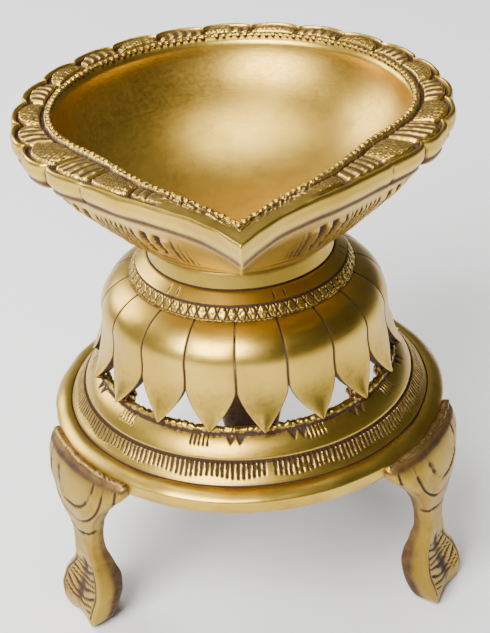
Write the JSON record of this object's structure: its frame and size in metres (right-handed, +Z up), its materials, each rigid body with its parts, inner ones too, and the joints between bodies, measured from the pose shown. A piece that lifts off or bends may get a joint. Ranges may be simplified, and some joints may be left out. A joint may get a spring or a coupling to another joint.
{
  "type": "diya oil lamp",
  "caption": "Cast brass diya: a pointed oil bowl with a carved petal rim that unscrews from a pierced lotus dome on a chased ring with three cabriole legs.",
  "frame": {"origin": "on the floor, under the middle of the footprint, half way between the spout's tip and the rear leg's toe; the stand's axis stands 4.82 mm behind it", "axes": "+Z up, spout towards -Y, rear leg towards +Y, lamp's left and right legs towards -X and +X"},
  "size_m": [0.1046, 0.1224, 0.125],
  "materials": {
    "bowl_brass": "satin polished inside, carved rim with dark brown patina in the cuts",
    "satin_brass": "smooth satin polish with dark lines between the petals",
    "chased_brass": "satin polish with chased marks filled by dark patina",
    "cast_brass": "cast and hand filed, engraved lines darkened by patina",
    "turned_brass": "plain machined finish",
    "dark_brass": "dull, darkened by oil and patina",
    "braze": "rough, slightly coppery brazing metal"
  },
  "bodies": {
    "stand": {"base_ring": "chased_brass", "lotus_dome": "satin_brass", "petal_pegs": "braze", "neck_collar": "chased_brass", "neck_bush": "turned_brass", "leg_left": "cast_brass", "leg_right": "cast_brass", "leg_rear": "cast_brass", "leg_braze": "braze"},
    "washer": {"seat_washer": "dark_brass"},
    "bowl": {"oil_bowl": "bowl_brass", "bowl_stud": "turned_brass"}
  },
  "joints": [
    {"name": "bowl_rise", "type": "slide", "parent": "stand", "child": "washer", "axis": [0, 0, 1], "range_m": [0, 0.01]},
    {"name": "bowl_unscrew", "type": "hinge", "parent": "washer", "child": "bowl", "pos_m": [0, 0.00482, 0.0944], "axis": [0, 0, 1], "range_deg": [0, 2880]}
  ],
  "couplings": [
    {"joint": "bowl_rise", "follows": "bowl_unscrew", "m_per_rad": 0.00019894}
  ]
}
